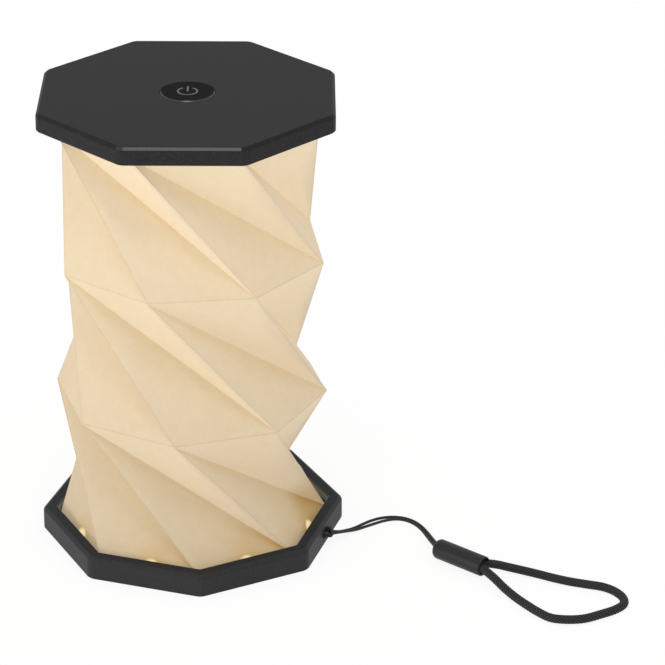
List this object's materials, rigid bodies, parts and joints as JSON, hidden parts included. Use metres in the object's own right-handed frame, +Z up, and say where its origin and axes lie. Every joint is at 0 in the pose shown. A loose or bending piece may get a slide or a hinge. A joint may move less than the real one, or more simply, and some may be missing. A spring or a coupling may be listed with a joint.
{
  "type": "folding table lamp",
  "caption": "Battery lamp with a twisted folded shade between an eight-sided base and lid, a push button on top and a wrist strap; it folds flat.",
  "frame": {"origin": "centre of the base on the surface that the lamp stands on", "axes": "+Z up along the lamp's axis, +X towards the side of the base that the wrist strap leaves, +Y towards the charging socket"},
  "size_m": [0.2163, 0.1072, 0.1664],
  "materials": {
    "plastic": "satin charcoal",
    "button_plastic": "smooth black",
    "sheet": "warm cream synthetic paper, lit from inside",
    "board": "green lacquer",
    "board_parts": "moulded black",
    "metal": "plated",
    "battery": "foil pouch",
    "foam": "closed-cell foam",
    "light": "yellow phosphor",
    "lens": "clear moulded",
    "wire": "silicone insulation",
    "cord": "black twisted and braided polyester",
    "stopper": "matte black"
  },
  "bodies": {
    "base": {"base_tray": "plastic", "base_cover": "plastic", "base_screws": "metal", "battery": "battery", "battery_pad": "foam", "main_board": "board", "board_parts": "board_parts", "usb_socket": "metal", "led_board": "board", "leds": "light", "led_lenses": "lens", "lower_shade_ring": "plastic", "base_magnets": "metal", "strap_hitch": "cord", "strap_cord": "cord", "cord_stopper": "stopper", "wrist_loop": "cord"},
    "shade": {"folded_shade": "sheet", "switch_lead": "wire"},
    "lid": {"upper_shade_ring": "plastic", "lid_cover": "plastic", "lid_plate": "plastic", "lid_screws": "metal", "lid_magnets": "metal", "switch_board": "board", "tact_switch": "board_parts"},
    "button": {"power_button": "button_plastic"}
  },
  "joints": [
    {"name": "fold_down", "type": "slide", "parent": "base", "child": "shade", "axis": [0, 0, -1], "range_m": [0, 0.151], "deforming": ["folded_shade", "switch_lead"]},
    {"name": "fold_twist", "type": "hinge", "parent": "shade", "child": "lid", "pos_m": [0, 0, 0.16], "axis": [0, 0, 1], "range_deg": [-108, 0]},
    {"name": "button_press", "type": "slide", "parent": "lid", "child": "button", "axis": [0, 0, -1], "range_m": [0, 0.0004], "stiffness_N_per_m": 1500, "springref_m": -0.0006}
  ],
  "couplings": [
    {"joint": "fold_twist", "follows": "fold_down", "rad_per_m": -12.483}
  ]
}
